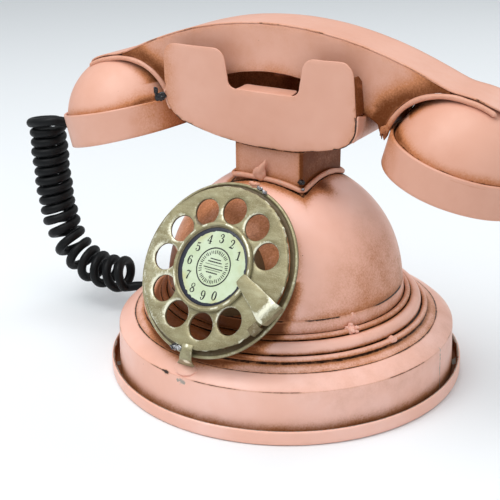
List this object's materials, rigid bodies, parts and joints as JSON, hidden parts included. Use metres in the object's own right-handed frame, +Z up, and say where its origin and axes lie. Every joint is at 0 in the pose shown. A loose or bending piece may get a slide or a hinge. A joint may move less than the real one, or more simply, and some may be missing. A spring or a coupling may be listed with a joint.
{
  "type": "telephone",
  "caption": "Tabletop telephone formed from painted sheet metal: round stepped base with a dome and a dial, a saddle cradle on a square neck, and a lift-off handset on a curly cord",
  "frame": {"origin": "centre of the foot tray's underside, on the table", "axes": "X along the handset, positive away from the cord; Y from the dial side to the back; Z up"},
  "size_m": [0.2662, 0.165, 0.1603],
  "materials": {
    "pink_paint": "satin pink paint over tin plate with brown shading in the folds",
    "gold_paint": "brushed pale gold paint, worn bright at the edges",
    "card": "smooth pale green enamel",
    "bare_tin": "dull unpainted tin plate",
    "cord_rubber": "black rubber with a slight sheen"
  },
  "bodies": {
    "base": {"foot_tray": "pink_paint", "base_wall": "pink_paint", "shoulder_ring": "pink_paint", "tier_plate": "pink_paint", "low_bead": "pink_paint", "big_ring": "pink_paint", "top_bead": "pink_paint", "dome_skirt": "pink_paint", "dome": "pink_paint", "neck": "pink_paint", "neck_wire": "pink_paint", "cradle_front_plate": "pink_paint", "cradle_back_plate": "pink_paint", "cradle_floor": "pink_paint", "tab_front_right": "pink_paint", "tab_front_left": "pink_paint", "tab_back_right": "pink_paint", "tab_back_left": "pink_paint", "dial_can": "gold_paint", "dial_rear_ring": "gold_paint", "finger_wheel": "gold_paint", "dial_rim": "gold_paint", "number_card": "card", "finger_stop": "gold_paint", "dial_edge_clip": "gold_paint", "dial_foot_strap": "gold_paint", "cord_grommet": "cord_rubber", "cord_curl": "cord_rubber", "cord_lead_handset": "cord_rubber", "cord_lead_base": "cord_rubber"},
    "handset": {"handle_front": "pink_paint", "handle_back": "pink_paint", "handle_top": "pink_paint", "handle_bottom": "pink_paint", "handle_saddle_right": "pink_paint", "handle_saddle_left": "pink_paint", "arch_bead_front_right": "pink_paint", "arch_bead_front_left": "pink_paint", "arch_bead_back_right": "pink_paint", "arch_bead_back_left": "pink_paint", "cup_band_right": "pink_paint", "cup_band_left": "pink_paint", "cup_dome_right": "pink_paint", "cup_dome_left": "pink_paint", "mouth_plate_right": "bare_tin", "mouth_plate_left": "bare_tin", "cord_gland": "cord_rubber"}
  },
  "joints": [
    {"name": "handset_lift", "type": "slide", "parent": "base", "child": "handset", "axis": [0, 0, 1], "range_m": [0, 0.06]}
  ]
}
